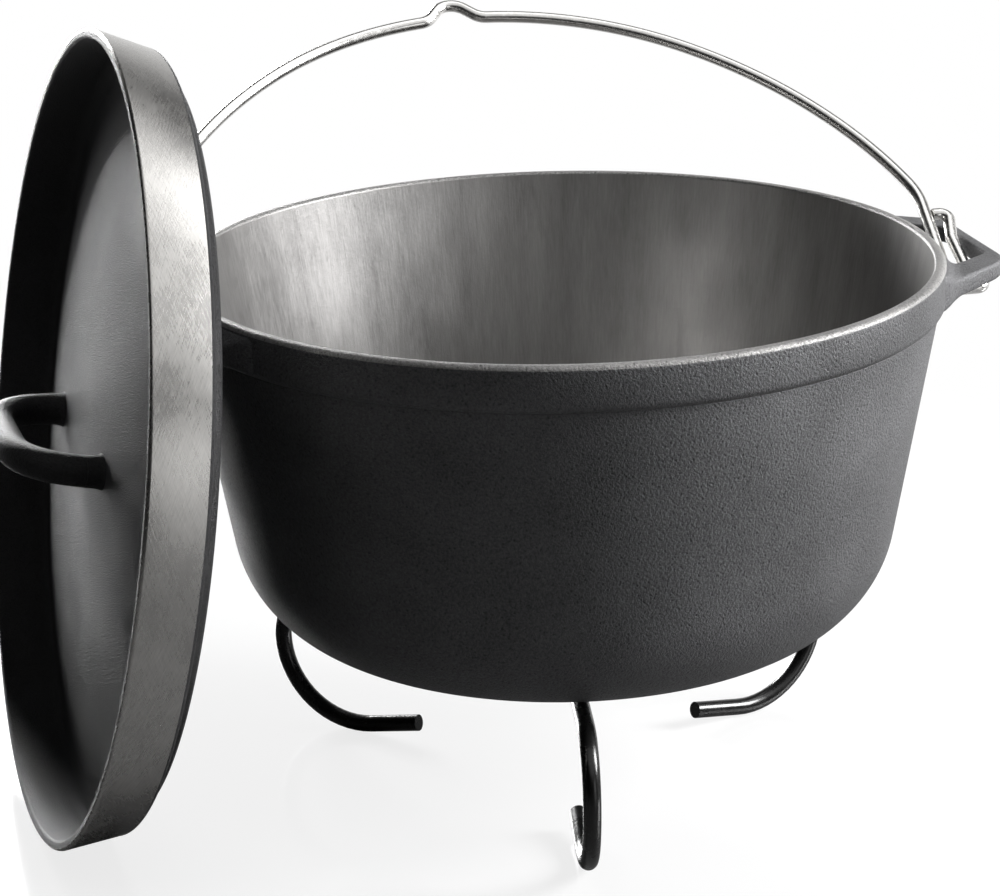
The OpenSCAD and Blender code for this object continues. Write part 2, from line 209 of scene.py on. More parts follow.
class OvenSettings(bpy.types.PropertyGroup):
    pot: PointerProperty(type=PotSettings, name="Pot", description="Sizes and colours of the pot")
    lid: PointerProperty(type=LidSettings, name="Lid", description="Sizes and colours of the lid")
    bail: PointerProperty(type=BailSettings, name="Bail", description="Sizes and colour of the bail")
    stand: PointerProperty(type=StandSettings, name="Stand", description="Sizes and colour of the stand")
    stage: PointerProperty(type=StageSettings, name="Stage", description="Camera and floor")


def arc(x, z, radius, start, stop, steps):
    """Points along an arc in section, both ends counted. Angles are in degrees."""
    turns = [math.radians(start + (stop - start) * i / steps) for i in range(steps + 1)]
    return [(x + radius * math.cos(t), z + radius * math.sin(t)) for t in turns]


def turn_section(bm, section, steps=256):
    """Spins a section of (radius, height) points, which starts and ends on the axis, once round Z."""
    verts = [bm.verts.new((r, 0, z)) for r, z in section]
    edges = [bm.edges.new(pair) for pair in zip(verts, verts[1:])]
    bmesh.ops.spin(
        bm, geom=verts + edges, cent=(0, 0, 0), axis=(0, 0, 1), angle=TAU, steps=steps, use_merge=True
    )
    bmesh.ops.remove_doubles(bm, verts=bm.verts, dist=1e-6)
    bmesh.ops.recalc_face_normals(bm, faces=bm.faces)


class Bar:
    """A round bar that runs straight and bends in the XZ plane.

    Heading 0 is up, and a heading of a quarter turn is towards +X.
    """

    def __init__(self, bm, radius, at=(0, 0, 0), heading=0.0, sides=32):
        self.bm = bm
        self.radius = radius
        self.at = Vector(at)
        self.heading = heading
        place = Matrix.Translation(self.at) @ Matrix.Rotation(heading, 4, "Y")
        disc = bmesh.ops.create_circle(bm, cap_ends=True, radius=radius, segments=sides, matrix=place)
        self.end = list({f for v in disc["verts"] for f in v.link_faces})

    def run(self, distance):
        step = Vector((math.sin(self.heading), 0, math.cos(self.heading))) * distance
        grown = bmesh.ops.extrude_face_region(self.bm, geom=self.end)["geom"]
        bmesh.ops.translate(self.bm, verts=[g for g in grown if isinstance(g, bmesh.types.BMVert)], vec=step)
        self.end = [g for g in grown if isinstance(g, bmesh.types.BMFace)]
        self.at += step

    def bend(self, radius, turn):
        side = math.copysign(radius, turn)
        centre = self.at + Vector((math.cos(self.heading), 0, -math.sin(self.heading))) * side
        fineness = max(1.0, radius / (10 * self.radius))
        steps = max(2, math.ceil(abs(turn) / math.radians(6) * fineness))
        ring = list({g for f in self.end for g in (*f.verts, *f.edges, f)})
        spun = bmesh.ops.spin(self.bm, geom=ring, cent=centre, axis=(0, 1, 0), angle=turn, steps=steps)
        self.end = [g for g in spun["geom_last"] if isinstance(g, bmesh.types.BMFace)]
        self.at = Matrix.Rotation(turn, 3, "Y") @ (self.at - centre) + centre
        self.heading += turn

    def follow(self, moves):
        """Each move is ("run", distance) or ("bend", radius, turn)."""
        for move in moves:
            if move[0] == "run":
                self.run(move[1])
            else:
                self.bend(move[1], move[2])


def join(bm, other):
    """Adds another bmesh to this one and frees it."""
    made = bpy.data.meshes.new("joined")
    other.to_mesh(made)
    other.free()
    bm.from_mesh(made)
    bpy.data.meshes.remove(made)


def soften_ends(bm, radius, size):
    """Breaks the sharp edge of a cut bar's two end faces."""
    ends = [f for f in bm.faces if len(f.verts) > 8]
    edges = list({e for f in ends for e in f.edges})
    bmesh.ops.bevel(
        bm, geom=edges, offset=size * radius, offset_type="OFFSET", affect="EDGES",
        segments=2, profile=0.5, material=-1,
    )


def mesh_middle(bm):
    low = Vector(map(min, *(v.co for v in bm.verts)))
    high = Vector(map(max, *(v.co for v in bm.verts)))
    return (low + high) / 2


def seat(bm, node, turn=Matrix()):
    """Turns a piece, then moves it to where its node of the frame is. Returns the whole placement."""
    bmesh.ops.transform(bm, matrix=turn, verts=bm.verts)
    low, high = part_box(node)
    shift = Matrix.Translation((low + high) / 2 - mesh_middle(bm))
    bmesh.ops.transform(bm, matrix=shift, verts=bm.verts)
    return shift @ turn


def add_piece(bm, name, node, body, finishes, crease=35):
    """Makes the piece's object, which stands for a node of the frame and rides on its body."""
    mesh = bpy.data.meshes.new(name)
    bm.to_mesh(mesh)
    bm.free()
    for finish in finishes:
        mesh.materials.append(finish)
    mesh.shade_smooth()
    mesh.set_sharp_from_angle(angle=math.radians(crease))
    piece = bpy.data.objects.new(name, mesh)
    bpy.context.scene.collection.objects.link(piece)
    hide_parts(node)
    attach(piece, body)
    return piece


class Nodes:
    """A node tree whose nodes are added one at a time."""

    def __init__(self, tree):
        self.tree = tree
        tree.nodes.clear()

    def add(self, kind, inputs=None, **settings):
        node = self.tree.nodes.new(kind)
        for key, value in settings.items():
            setattr(node, key, value)
        for key, value in (inputs or {}).items():
            if isinstance(value, bpy.types.NodeSocket):
                self.tree.links.new(value, node.inputs[key])
            else:
                node.inputs[key].default_value = value
        return node.outputs

    def calc(self, operation, *values):
        return self.add("ShaderNodeMath", dict(enumerate(values)), operation=operation)["Value"]

    def span(self, value, low, high, to_low, to_high, **settings):
        """Maps a range of values to another, clamped."""
        inputs = {"Value": value, "From Min": low, "From Max": high, "To Min": to_low, "To Max": to_high}
        return self.add("ShaderNodeMapRange", inputs, **settings)["Result"]

    def reach(self, where):
        """The length of a vector."""
        return self.add("ShaderNodeVectorMath", {0: where}, operation="LENGTH")["Value"]

    def toward(self, where, way):
        """How far a vector reaches in a direction."""
        return self.add("ShaderNodeVectorMath", {0: where, 1: way}, operation="DOT_PRODUCT")["Value"]

    def vector(self, operation, first, second=None, scale=None):
        inputs = {0: first}
        if second is not None:
            inputs[1] = second
        if scale is not None:
            inputs["Scale"] = scale
        return self.add("ShaderNodeVectorMath", inputs, operation=operation)["Vector"]


class Finish(Nodes):
    """A material in the making, whose patterns are turned with the piece where its place is given."""

    def __init__(self, name, place=None):
        self.material = bpy.data.materials.new(name)
        self.material.use_nodes = True
        super().__init__(self.material.node_tree)
        where = self.add("ShaderNodeTexCoord")["Object"]
        if place is not None:
            turned = {"Vector": where, "Location": place.to_translation(), "Rotation": place.to_euler()}
            where = self.add("ShaderNodeMapping", turned, vector_type="TEXTURE")["Vector"]
        self.where = where

    def noise(self, size, detail=2.0, rough=0.5, where=None, warp=0.0):
        """Noise whose features are about as large as size, in metres."""
        inputs = {
            "Vector": where or self.where, "Scale": 1 / size,
            "Detail": detail, "Roughness": rough, "Distortion": warp,
        }
        return self.add("ShaderNodeTexNoise", inputs)[0]

    def blend(self, factor, first, second):
        inputs = {"Factor": factor, 6: first, 7: second}
        return self.add("ShaderNodeMix", inputs, data_type="RGBA")[2]

    def shades(self, factor, colour, dark, light):
        """The colour between a darker and a lighter version of itself."""
        return self.blend(factor, scaled(colour, dark), scaled(colour, light))

    def bump(self, height, depth):
        return self.add("ShaderNodeBump", {"Height": height, "Distance": depth, "Strength": 1.0})["Normal"]

    def surface(self, **inputs):
        named = {key.replace("_", " "): value for key, value in inputs.items()}
        shader = self.add("ShaderNodeBsdfPrincipled", named)["BSDF"]
        self.add("ShaderNodeOutputMaterial", {"Surface": shader})
        return self.material


def scaled(colour, factor):
    return tuple(min(1.0, c * factor) for c in tuple(colour)[:3]) + (1.0,)


def cast_iron(name, colour, grain, depth, roughness, place=None):
    """As-cast iron: pebbled grain, small pits and broad uneven patches."""
    f = Finish(name, place)
    patches = f.noise(0.035, detail=3)
    pebbles = f.noise(grain, detail=3, rough=0.62)
    sand = f.noise(grain / 2.6, detail=2, rough=0.6)
    cell_size = grain / 0.45
    spots = {"Vector": f.where, "Scale": 1 / cell_size}
    cells = f.add("ShaderNodeTexVoronoi", spots, feature="F1")["Distance"]
    pits = f.span(cells, 0.05, 0.3, 1.0, 0.0)
    relief = f.calc("MULTIPLY_ADD", sand, 0.4, pebbles)
    relief = f.calc("MULTIPLY_ADD", pits, -0.3, relief)
    grains = f.span(relief, 0.4, 0.95, 0.0, 1.0)
    tone = f.calc("MULTIPLY_ADD", grains, 0.7, f.span(patches, 0.3, 0.7, 0.0, 0.3))
    return f.surface(
        Base_Color=f.shades(tone, colour, 0.35, 1.8),
        Roughness=f.span(f.calc("ADD", patches, sand), 0.7, 1.3, roughness - 0.08, roughness + 0.08),
        Metallic=0.4,
        Normal=f.bump(relief, depth),
    )


def around(f, stretch):
    """Coordinates that run round the piece's axis, squeezed along it so that a noise becomes streaks."""
    wall_r = 0.13
    flat = f.vector("MULTIPLY", f.where, (1.0, 1.0, 0.0))
    rounded = f.vector("SCALE", f.vector("NORMALIZE", flat), scale=wall_r)
    height = f.vector("MULTIPLY", f.where, (0.0, 0.0, stretch))
    return f.vector("ADD", rounded, height)


def machined_iron(name, colour):
    """Turned and honed iron inside the pot: upright streaks on the wall, rings on the floor."""
    f = Finish(name)
    streaks = f.noise(0.0008, detail=5, rough=0.72, where=around(f, 0.1), warp=0.25)
    broad = f.noise(0.01, detail=3, where=around(f, 0.2))
    flat = f.vector("MULTIPLY", f.where, (1.0, 1.0, 0.0))
    radius = f.reach(flat)
    rings_at = f.add("ShaderNodeCombineXYZ", {"X": radius})["Vector"]
    rings = f.noise(0.0009, detail=4, rough=0.65, where=rings_at)
    floor = f.span(radius, 0.08, 0.1, 1.0, 0.0)
    wall = f.calc("SUBTRACT", 1.0, floor)
    lines = f.calc("ADD", f.calc("MULTIPLY", rings, floor), f.calc("MULTIPLY", streaks, wall))
    grit = f.noise(0.0012, detail=2)
    cloud = f.noise(0.03, detail=3)
    patches = f.add("ShaderNodeMix", {0: floor, 2: broad, 3: cloud}, data_type="FLOAT")[0]
    broad_tone = f.span(patches, 0.3, 0.7, 0.0, 0.45)
    tone = f.calc("MULTIPLY_ADD", f.span(lines, 0.25, 0.75, 0.0, 1.0), 0.55, broad_tone)
    return f.surface(
        Base_Color=f.shades(tone, colour, 0.7, 1.35),
        Roughness=f.span(f.calc("ADD", cloud, lines), 0.7, 1.3, 0.34, 0.48),
        Metallic=0.85,
        Normal=f.bump(f.calc("MULTIPLY_ADD", grit, 0.5, lines), 0.00006),
    )


def brushed_iron(name, colour, place):
    """Ground iron of the lid's edge band: two families of fine strokes that cross each other."""
    f = Finish(name, place)
    split = f.add("ShaderNodeSeparateXYZ", {"Vector": f.where})
    band_r = 0.139
    round_way = f.calc("MULTIPLY", f.calc("ARCTAN2", split["Y"], split["X"]), band_r)
    families = []
    for slant, size in ((1.15, 0.0006), (1.9, 0.0005)):
        sine, cosine = math.sin(slant), math.cos(slant)
        across = f.calc("MULTIPLY_ADD", split["Z"], -sine, f.calc("MULTIPLY", round_way, cosine))
        along = f.calc("MULTIPLY_ADD", split["Z"], cosine, f.calc("MULTIPLY", round_way, sine))
        at = f.add("ShaderNodeCombineXYZ", {"X": across, "Y": f.calc("MULTIPLY", along, 0.07)})["Vector"]
        families.append(f.noise(size, detail=4, rough=0.7, where=at, warp=0.15))
    sweep = f.span(f.noise(0.04, detail=1), 0.3, 0.7, 0.2, 0.8)
    lines = f.add("ShaderNodeMix", {0: sweep, 2: families[0], 3: families[1]}, data_type="FLOAT")[0]
    cloud = f.noise(0.02, detail=3)
    tone = f.calc("MULTIPLY_ADD", f.span(lines, 0.32, 0.68, 0.0, 1.0), 0.7, f.span(cloud, 0.3, 0.7, 0.0, 0.3))
    return f.surface(
        Base_Color=f.shades(tone, colour, 0.7, 1.3),
        Roughness=f.span(f.calc("ADD", cloud, lines), 0.7, 1.3, 0.22, 0.33),
        Metallic=1.0,
        Normal=f.bump(lines, 0.00006),
    )


def drawn_steel(name, colour, place):
    """Bright drawn wire with small scuffs and duller stretches."""
    f = Finish(name, place)
    scuffs = f.noise(0.0022, detail=3, rough=0.6)
    dull = f.noise(0.02, detail=2)
    return f.surface(
        Base_Color=f.shades(f.span(scuffs, 0.3, 0.7, 0.0, 1.0), colour, 0.9, 1.08),
        Roughness=f.span(f.calc("ADD", dull, scuffs), 0.7, 1.3, 0.18, 0.3),
        Metallic=1.0,
    )


def gloss_black(name, colour):
    """Stoved black enamel with a faint orange peel."""
    f = Finish(name)
    peel = f.noise(0.0016, detail=2)
    dust = f.noise(0.009, detail=4, rough=0.7)
    return f.surface(
        Base_Color=f.shades(dust, colour, 0.7, 1.6),
        Roughness=f.span(dust, 0.35, 0.65, 0.2, 0.32),
        Specular_IOR_Level=0.4,
        Coat_Weight=0.15,
        Coat_Roughness=0.1,
        Normal=f.bump(peel, 0.00004),
    )


def pot_section(s):
    """The pot's wall in section, from the middle of the base, over the rim, to the middle of the floor."""
    rim_r, base_r, rim_z = s.rim_d / 2, s.base_d / 2, s.pot_h - s.wall_t
    line_x, line_z = rim_r - s.band_step, rim_z - s.band_h
    lean = math.degrees(s.wall_lean)
    sin_lean, cos_lean = math.sin(s.wall_lean), math.cos(s.wall_lean)
    corner_r = (cos_lean * (line_x - base_r) - sin_lean * (line_z + s.wall_t)) / (1 - sin_lean)
    corner_z = corner_r - s.wall_t
    inner_r = corner_r - s.wall_t
    mouth_r = line_x + (rim_z - line_z) * math.tan(s.wall_lean) - s.wall_t / cos_lean
    edge, shoulder = s.rim_round, s.rim_shoulder
    outside = [(0, -s.wall_t)] + arc(base_r, corner_z, corner_r, -90, -lean, 40)
    step_r, step_drop = 0.0012, 0.0002
    step_low = arc(line_x - step_r, line_z - step_drop, step_r, -lean, 20, 3)
    swell = ((0.0009, 0.55), (0.0003, 0.95), (0.0, 1.4))
    band = [(rim_r - short, line_z + s.band_step * up) for short, up in swell]
    rim = arc(rim_r - shoulder, rim_z - shoulder, shoulder, 0, 90, 10)
    rim += arc(mouth_r + edge, rim_z - edge, edge, 90, 180, 8)
    inside = arc(base_r, corner_z, inner_r, -lean, -90, 40) + [(0, 0)]
    return outside + step_low[1:] + band + rim + inside


def ear_stations(s):
    """Half an ear, from inside the wall to the middle of its bar.

    Each station holds a plan point on the hole's side, one on the outer side, and how much of the cast
    fillet against the wall the section there takes.
    """
    rim_r = s.rim_d / 2
    reach = rim_r + s.ear_out
    facing = s.ear_side_turn
    ahead = Vector((math.cos(facing), math.sin(facing)))
    along = Vector((-ahead.y, ahead.x))
    hole_r, side_run, root_depth, buried_run = 0.003, 0.038, 0.007, 0.0035
    flare_most, flare_over = 0.002, 0.008
    side_steps, buried_steps, corner_steps, bar_steps = 20, 7, 14, 4
    corner_at = Vector((reach - s.ear_corner_r, s.ear_tip_half))
    hole_at = Vector((reach - s.ear_bar - hole_r, s.hole_half_out - hole_r))
    side_out, side_in = corner_at + ahead * s.ear_corner_r, hole_at + ahead * hole_r
    root_out = side_out + along * side_run
    hole_root = Vector((rim_r - root_depth, s.hole_half_in))
    buried = hole_root + along * buried_run

    def around_from(centre, radius, turn):
        return centre + radius * Vector((math.cos(turn), math.sin(turn)))

    stations = []
    for i in range(side_steps + 1):
        outer = root_out.lerp(side_out, i / side_steps)
        flare = flare_most * min(1.0, max(0.0, 1 - (outer.length - rim_r) / flare_over)) ** 2
        if i < buried_steps:
            inner = buried.lerp(hole_root, i / buried_steps)
        else:
            inner = hole_root.lerp(side_in, (i - buried_steps) / (side_steps - buried_steps))
        stations.append((inner, outer + ahead * flare, 1.0))
    for i in range(1, corner_steps + 1):
        turn = facing * (1 - i / corner_steps)
        inner, outer = around_from(hole_at, hole_r, turn), around_from(corner_at, s.ear_corner_r, turn)
        stations.append((inner, outer, 0.0))
    for i in range(1, bar_steps + 1):
        left = 1 - i / bar_steps
        stations.append((Vector((inner.x, inner.y * left)), Vector((outer.x, outer.y * left)), 0.0))
    return stations


def ear_ring(bm, s, inner, outer, fillet):
    """The outline of the ear's cross section at one station, as a closed loop of edges."""
    rim_r = s.rim_d / 2
    top = s.pot_h - s.wall_t - s.ear_drop
    way = (outer - inner).normalized()
    width = (outer - inner).length
    thin_from, thin_run = rim_r + 0.004, s.ear_out - 0.006
    slope = min(1.0, max(0.0, (outer.x - thin_from) / thin_run))
    bottom = top - s.ear_root_t - (s.ear_t - s.ear_root_t) * slope
    big, small = s.ear_round, 0.0009
    fillet_over, fillet_up, fillet_down = 0.006, 0.004, 0.002
    flat = width - big - small
    shares = (0.12, 0.25, 0.4, 0.55, 0.75)
    outline = [(small + flat * k, top) for k in shares] + arc(width - big, top - big, big, 90, 0, 6)
    outline += arc(width - big, bottom + big, big, 0, -90, 6)
    outline += [(small + flat * k, bottom) for k in shares[::-1]]
    outline += arc(small, bottom + small, small, -90, -180, 3) + arc(small, top - small, small, 180, 90, 3)
    verts = []
    for d, z in outline:
        x, y = inner + way * d
        near = max(0.0, 1 - max(0.0, math.hypot(x, y) - rim_r) / fillet_over) ** 2 * fillet
        lift = fillet_up * near if z > (top + bottom) / 2 else -fillet_down * near
        verts.append(bm.verts.new((x, y, z + lift)))
    return [bm.edges.new((a, b)) for a, b in zip(verts, verts[1:] + verts[:1])]


def ear_web(bm, s):
    """The cast fillet that runs along the wall between the arms of an ear."""
    rim_r = s.rim_d / 2
    edge_r = rim_r + s.ear_web
    top = s.pot_h - s.wall_t - s.ear_drop
    bottom = top - s.ear_root_t
    buried_r, break_top, break_low, foot_drop = rim_r - 0.003, 0.0008, 0.001, 0.002
    fillet = arc(edge_r, top + s.ear_web, s.ear_web, 180, 255, 8)
    outline = [(buried_r, top + s.ear_web)] + fillet
    outline += [(edge_r, top - break_top), (edge_r, bottom + break_low), (edge_r - break_low, bottom)]
    outline += [(rim_r, bottom - foot_drop), (buried_r, bottom - foot_drop)]
    half = math.atan2(s.hole_half_in, rim_r)
    way = Matrix.Rotation(-half, 3, "Z")
    face = bm.faces.new([bm.verts.new(way @ Vector((r, 0, z))) for r, z in outline])
    ring = [*face.verts, *face.edges, face]
    bmesh.ops.spin(bm, geom=ring, cent=(0, 0, 0), axis=(0, 0, 1), angle=2 * half, steps=24)


def add_ears(bm, s):
    half = ear_stations(s)
    mirrored = [(Vector((i.x, -i.y)), Vector((o.x, -o.y)), fillet) for i, o, fillet in half[-2::-1]]
    for side in (0.0, math.pi):
        ear = bmesh.new()
        rings = [ear_ring(ear, s, *pair) for pair in half + mirrored]
        for first, second in zip(rings, rings[1:]):
            bmesh.ops.bridge_loops(ear, edges=first + second)
        for ring in (rings[0], rings[-1]):
            bmesh.ops.contextual_create(ear, geom=ring)
        ear_web(ear, s)
        bmesh.ops.recalc_face_normals(ear, faces=ear.faces)
        bmesh.ops.rotate(ear, verts=ear.verts, cent=(0, 0, 0), matrix=Matrix.Rotation(side, 3, "Z"))
        join(bm, ear)


def add_pot(s):
    bm = bmesh.new()
    turn_section(bm, pot_section(s))
    rim_z = s.pot_h - s.wall_t
    inside_slot, rim_painted_light_slot = 1, 2
    for face in bm.faces:
        middle, way = face.calc_center_median(), face.normal
        outward = way.x * middle.x + way.y * middle.y
        # Upward faces at the rim get a lighter copy of the cast iron: painted light where the overhead light
        # falls.
        if middle.z > rim_z - s.rim_shoulder * 0.9 and way.z > 0.3:
            face.material_index = rim_painted_light_slot
        elif outward < -1e-6 or way.z > 0.5:
            face.material_index = inside_slot
    add_ears(bm, s)
    outside = cast_iron("pot_cast_iron", s.iron, 0.0009, 0.0004, 0.5)
    inside = machined_iron("pot_machined_iron", s.machined)
    # The same cast iron and grain as the outside, only lighter: painted light on the rim's top.
    rim = cast_iron("rim_cast_iron_painted_light", scaled(s.machined, 0.8), 0.0009, 0.0003, 0.42)
    return add_piece(bm, "pot_casting", "pot", "oven", [outside, inside, rim])


def lid_section(s, pot):
    """The lid in section, seat down, from the middle of its underside to the middle of the dome."""
    rim_r = pot.rim_d / 2
    base_r = rim_r + s.lid_over
    top_r = base_r + s.lid_flare
    dome_r = base_r - s.lid_wall_t - s.gutter_w
    dome_h = s.lid_h - s.dome_drop - s.lid_t
    ball = (dome_r**2 + dome_h**2) / (2 * dome_h)
    lean = pot.wall_lean
    mouth_r = rim_r - pot.band_step + pot.band_h * math.tan(lean) - pot.wall_t / math.cos(lean)
    lip_r = mouth_r - s.lip_play
    slope = s.lid_flare / s.lid_h
    edge, seat_r, hollow = s.edge_round, s.seat_round, s.gutter_r

    def dome(r):
        return s.lid_h - s.dome_drop - ball + math.sqrt(ball**2 - r**2)

    def inside(z):
        return base_r + slope * z - s.lid_wall_t

    lip_in = lip_r - s.lip_w
    chamfer, edge_inset = 0.0008, 0.0001
    under = [(r, dome(r) - s.lid_t) for r in (i / 24 * (lip_in - 0.001) for i in range(25))]
    lip = [(lip_in, -s.lip_h + chamfer), (lip_in + chamfer, -s.lip_h), (lip_r - chamfer, -s.lip_h)]
    lip += [(lip_r, -s.lip_h + chamfer), (lip_r, 0)]
    wall = arc(base_r - seat_r, seat_r, seat_r, -90, 0, 8)
    wall += arc(top_r - edge - edge_inset, s.lid_h - edge, edge, 0, 90, 8)
    wall += arc(inside(s.lid_h) + edge, s.lid_h - edge, edge, 90, 180, 6)
    gutter = arc(inside(s.lid_t + hollow) - hollow, s.lid_t + hollow, hollow, 0, -90, 12)
    over = [(r, dome(r)) for r in (i / 32 * dome_r for i in range(32, -1, -1))]
    return under + lip + wall + gutter + over, dome, ball


def add_lid_handle(bm, s, dome, dome_ball):
    """The handle's bar along X, with feet that flare square to the dome, then turned to lie along Y."""
    sunk, foot_sunk, handle_slot = 0.003, 0.0001, 2
    bar_r, foot_x = s.handle_d / 2, s.handle_span / 2
    foot_z = dome(foot_x)
    bend_z = s.lid_h - s.dome_drop + s.handle_h - s.handle_bend
    handle = bmesh.new()
    bar = Bar(handle, bar_r, at=(-foot_x, 0, foot_z - sunk), sides=48)
    bar.follow([
        ("run", bend_z - foot_z + sunk), ("bend", s.handle_bend, math.pi / 2),
        ("run", s.handle_span - 2 * s.handle_bend),
        ("bend", s.handle_bend, math.pi / 2), ("run", bend_z - foot_z + sunk),
    ])
    spread, rise, root = s.handle_foot + 0.0005, 0.006, -0.001
    turns = [i * math.pi / 24 for i in range(13)]
    flare = [(bar_r + spread * (1 - math.sin(t)), rise * (1 - math.cos(t))) for t in turns]
    for side in (-1, 1):
        foot = bmesh.new()
        turn_section(foot, [(0, root), (bar_r + spread, root)] + flare + [(0, rise)], steps=64)
        tilt = Matrix.Rotation(side * math.asin(foot_x / dome_ball), 3, "Y")
        bmesh.ops.rotate(foot, verts=foot.verts, cent=(0, 0, 0), matrix=tilt)
        bmesh.ops.translate(foot, verts=foot.verts, vec=(side * foot_x, 0, foot_z - foot_sunk))
        join(handle, foot)
    bmesh.ops.rotate(handle, verts=handle.verts, cent=(0, 0, 0), matrix=Matrix.Rotation(math.pi / 2, 3, "Z"))
    for face in handle.faces:
        face.material_index = handle_slot
    join(bm, handle)


def add_lid(s, pot):
    bm = bmesh.new()
    section, dome, dome_ball = lid_section(s, pot)
    turn_section(bm, section)
    base_r = pot.rim_d / 2 + s.lid_over
    band_slot, seat_w = 1, 0.012
    for face in bm.faces:
        middle, way = face.calc_center_median(), face.normal
        radius = math.hypot(middle.x, middle.y)
        outward = (way.x * middle.x + way.y * middle.y) / max(1e-9, radius)
        on_wall = radius > base_r - 0.001 and middle.z > s.seat_round * 0.8
        on_band = on_wall and outward > (0.2 if middle.z > s.lid_h / 2 else 0.62)
        on_seat = way.z < -0.99 and middle.z < 0.0001 and radius > base_r - seat_w
        if on_band or on_seat:
            face.material_index = band_slot
    add_lid_handle(bm, s, dome, dome_ball)
    turn = Matrix.Rotation(math.pi + s.lid_turn, 4, "Z") @ Matrix.Rotation(math.pi / 2 - s.lid_lean, 4, "Y")
    place = seat(bm, "lid", turn)
    iron = cast_iron("lid_cast_iron", s.iron, 0.0005, 0.0011, 0.46, place)
    band = brushed_iron("lid_brushed_band", s.brushed, place)
    handle = cast_iron("lid_handle_black", s.handle_black, 0.0009, 0.0006, 0.55, place)
    return add_piece(bm, "lid_casting", "lid", "oven", [iron, band, handle])


def bail_moves(s, pot):
    """The wire from its left end to its right end. The arch's two bend radii are worked out on the way."""
    wire_r = s.wire_d / 2
    waist_x = pot.rim_d / 2 + pot.ear_out - pot.ear_bar - s.eye_play - wire_r
    shank_x = waist_x - s.eye_waist
    arch_half = shank_x + s.knee_h * math.tan(s.shank_lean)
    side_x = arch_half - s.knee_r * (math.cos(s.shank_lean) - math.cos(s.side_lean))
    side_z = s.knee_h + s.knee_r * (math.sin(s.side_lean) + math.sin(s.shank_lean))
    run_x = (math.cos(s.side_lean) - math.cos(s.crown_lean), math.cos(s.crown_lean))
    run_z = (math.sin(s.crown_lean) - math.sin(s.side_lean), 1 - math.sin(s.crown_lean))
    cross = run_x[0] * run_z[1] - run_x[1] * run_z[0]
    side_r = (side_x * run_z[1] - run_x[1] * (s.arch_h - side_z)) / cross
    crown_r = (run_x[0] * (s.arch_h - side_z) - run_z[0] * side_x) / cross
    notch_from = math.asin((s.notch_aside - s.notch_half) / crown_r)
    notch_to = math.asin((s.notch_aside + s.notch_half) / crown_r)
    dip = (notch_to - notch_from) / 2
    chord = 2 * crown_r * math.sin(dip)
    notch_bends = s.notch_r * (4 * math.sin(s.notch_angle) - 2 * math.sin(dip))
    notch_run = (chord - notch_bends) / (2 * math.cos(s.notch_angle))
    toe, shoulder, corner = s.toe_turn, s.shoulder_turn, s.eye_r
    toe_run = (s.eye_toe - 2 * corner * (1 - math.cos(toe))) / math.sin(toe)
    toe_z = -s.eye_bottom + corner * (1 + 2 * math.sin(toe)) + toe_run * math.cos(toe)
    shoulder_run = (s.eye_shoulder - 2 * corner * (1 - math.cos(shoulder))) / math.sin(shoulder)
    waist_run = s.eye_top - corner * (1 + 2 * math.sin(shoulder)) - shoulder_run * math.cos(shoulder) - toe_z
    shank_run = (s.knee_h + s.eye_bottom - corner * (1 + math.sin(s.shank_lean))) / math.cos(s.shank_lean)
    corner_drop = s.eye_bottom - corner * (1 + math.sin(s.shank_lean))
    corner_x = shank_x - corner_drop * math.tan(s.shank_lean) + corner * math.cos(s.shank_lean)
    bottom_run = waist_x + s.eye_toe - corner - corner_x
    end_x = shank_x + s.eye_top * math.tan(s.shank_lean) + wire_r + s.wire_gap
    top_run = waist_x + s.eye_shoulder - corner - end_x
    quarter = math.pi / 2

    def side(stop):
        return [
            ("bend", crown_r, quarter - s.crown_lean - stop), ("bend", side_r, s.crown_lean - s.side_lean),
            ("bend", s.knee_r, s.side_lean + s.shank_lean), ("run", shank_run),
            ("bend", corner, -quarter - s.shank_lean), ("run", bottom_run), ("bend", corner, -quarter - toe),
            ("run", toe_run), ("bend", corner, toe), ("run", waist_run), ("bend", corner, shoulder),
            ("run", shoulder_run), ("bend", corner, -quarter - shoulder), ("run", top_run),
        ]

    notch = [
        ("bend", s.notch_r, dip - s.notch_angle), ("run", notch_run), ("bend", s.notch_r, 2 * s.notch_angle),
        ("run", notch_run), ("bend", s.notch_r, dip - s.notch_angle),
    ]
    return side(notch_to)[::-1] + notch + side(-notch_from)


def add_bail(s, pot):
    bm = bmesh.new()
    bar = Bar(bm, s.wire_d / 2, heading=-math.pi / 2, sides=32)
    bar.follow(bail_moves(s, pot))
    soften_ends(bm, s.wire_d / 2, 0.2)
    bmesh.ops.recalc_face_normals(bm, faces=bm.faces)
    place = seat(bm, "bail", Matrix.Rotation(-s.bail_lean, 4, "X"))
    steel = drawn_steel("bail_steel", s.steel, place)
    return add_piece(bm, "bail_wire", "bail", "bail", [steel])


